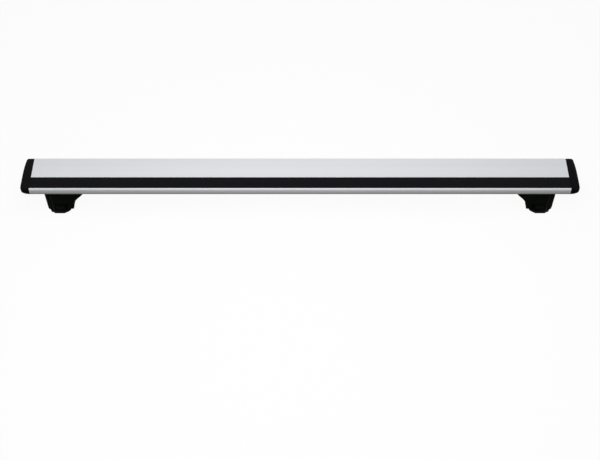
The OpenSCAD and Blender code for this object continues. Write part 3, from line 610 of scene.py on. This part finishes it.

# %% [markdown]
# ## Light and floor
# The floor is a pale sheet that catches the object's shadow. The camera sees it nearly white, while the rays
# that light the object from below meet a dark tone, a painted shade that keeps the underside of the rounded
# nose and the feet dark, and that polished faces mirror as a dark floor close by. The light is soft: a low
# white sky all round, and one broad softbox almost straight above, a little towards the front, so that the
# flat top is the brightest face of the bar.
# Polished faces mirror the white sky and not the softbox, so that no side of the metal burns out.

# %% Floor
def pale_floor_with_painted_shade():
    """A matt sheet, pale to the camera and dark to all other rays, which is a painted shade on the object's
    underside. It is mixed with plain white by a share that depends on which kind of ray sees it, and that
    rises to one with the distance from the middle, so that the floor ends in the white sky."""
    made, shader, at = material("floor_paper_with_painted_shade", FLOOR_GREY, 0.9, specular=0.1)
    nodes, links = made.node_tree.nodes, made.node_tree.links
    ray = nodes.new("ShaderNodeLightPath")
    tone = nodes.new("ShaderNodeMix")
    tone.data_type = "RGBA"
    # Painted shade: every ray but the camera's sees the floor in this dark tone, which darkens the object's
    # underside
    tone.inputs["A"].default_value = (*FLOOR_PAINTED_SHADE, 1)
    tone.inputs["B"].default_value = (*FLOOR_GREY, 1)
    links.new(ray.outputs["Is Camera Ray"], tone.inputs["Factor"])
    links.new(tone.outputs["Result"], shader.inputs["Base Color"])
    away = nodes.new("ShaderNodeVectorMath")
    away.operation = "LENGTH"
    links.new(at, away.inputs[0])
    share = None
    for kind, white in FLOOR_WHITENESS.items():
        term = nodes.new("ShaderNodeMath")
        term.operation = "MULTIPLY_ADD"
        term.inputs[2].default_value = 0
        links.new(ray.outputs[kind], term.inputs[0])
        links.new(spread(made, away.outputs["Value"], white, 1, *FLOOR_FADE), term.inputs[1])
        if share is not None:
            links.new(share, term.inputs[2])
        share = term.outputs[0]
    glow = nodes.new("ShaderNodeEmission")
    glow.inputs["Color"].default_value = (1, 1, 1, 1)
    mix = nodes.new("ShaderNodeMixShader")
    links.new(share, mix.inputs["Fac"])
    links.new(shader.outputs[0], mix.inputs[1])
    links.new(glow.outputs[0], mix.inputs[2])
    links.new(mix.outputs[0], nodes["Material Output"].inputs["Surface"])
    return made


# The paper's near-white tone for the camera, and for all other rays a dark tone: a painted shade that darkens
# the underside of the nose and the feet
FLOOR_GREY = (0.95, 0.95, 0.95)
FLOOR_PAINTED_SHADE = (0.13, 0.14, 0.105)
# The white that is mixed in close to the bar, for each kind of ray, and the distances of its fade in. Glossy
# rays get little of it, so that polished faces mirror the painted shade as a dark floor.
FLOOR_WHITENESS = {"Is Camera Ray": 0.94, "Is Glossy Ray": 0.1, "Is Transmission Ray": 0.94}
FLOOR_FADE = (1.0, 3.0)
FLOOR_HALF = 7.0
floor_mesh = bpy.data.meshes.new("floor")
floor_corners = [(x * FLOOR_HALF, y * FLOOR_HALF, 0) for x, y in ((-1, -1), (1, -1), (1, 1), (-1, 1))]
floor_mesh.from_pydata(floor_corners, [], [(0, 1, 2, 3)])
floor_mesh.materials.append(pale_floor_with_painted_shade())
floor = bpy.data.objects.new("floor", floor_mesh)
bpy.context.scene.collection.objects.link(floor)

# %% Sky and lamps
SKY = 0.2
world = bpy.data.worlds.new("sky")
world.use_nodes = True
bpy.context.scene.world = world
tree = world.node_tree
background = tree.nodes["Background"]
background.inputs["Color"].default_value = (1, 1, 1, 1)
background.inputs["Strength"].default_value = SKY
white = tree.nodes.new("ShaderNodeBackground")
white.inputs["Strength"].default_value = 1.0
white.inputs["Color"].default_value = (1, 1, 1, 1)
ray = tree.nodes.new("ShaderNodeLightPath")
mix = tree.nodes.new("ShaderNodeMixShader")
seen = ray.outputs["Is Camera Ray"]
for kind in ("Is Glossy Ray", "Is Transmission Ray"):
    either = tree.nodes.new("ShaderNodeMath")
    either.operation = "MAXIMUM"
    tree.links.new(seen, either.inputs[0])
    tree.links.new(ray.outputs[kind], either.inputs[1])
    seen = either.outputs[0]
tree.links.new(seen, mix.inputs["Fac"])
tree.links.new(background.outputs[0], mix.inputs[1])
tree.links.new(white.outputs[0], mix.inputs[2])
tree.links.new(mix.outputs[0], tree.nodes["World Output"].inputs["Surface"])


def lamp(name, place_at, look_at, size, watts):
    """A rectangular area lamp at one point, facing another, with its size along X and Y."""
    data = bpy.data.lights.new(name, "AREA")
    data.shape = "RECTANGLE"
    data.size, data.size_y = size
    data.energy = watts
    made = bpy.data.objects.new(name, data)
    bpy.context.scene.collection.objects.link(made)
    made.location = place_at
    made.rotation_euler = (Vector(look_at) - Vector(place_at)).to_track_quat("-Z", "Y").to_euler()
    return made


softbox = lamp("softbox", (-0.05, -0.42, 1.22), (-0.03, 0, 0.05), (0.9, 1.1), 14.4)
softbox.visible_glossy = False
bpy.context.scene.view_settings.view_transform = "Standard"
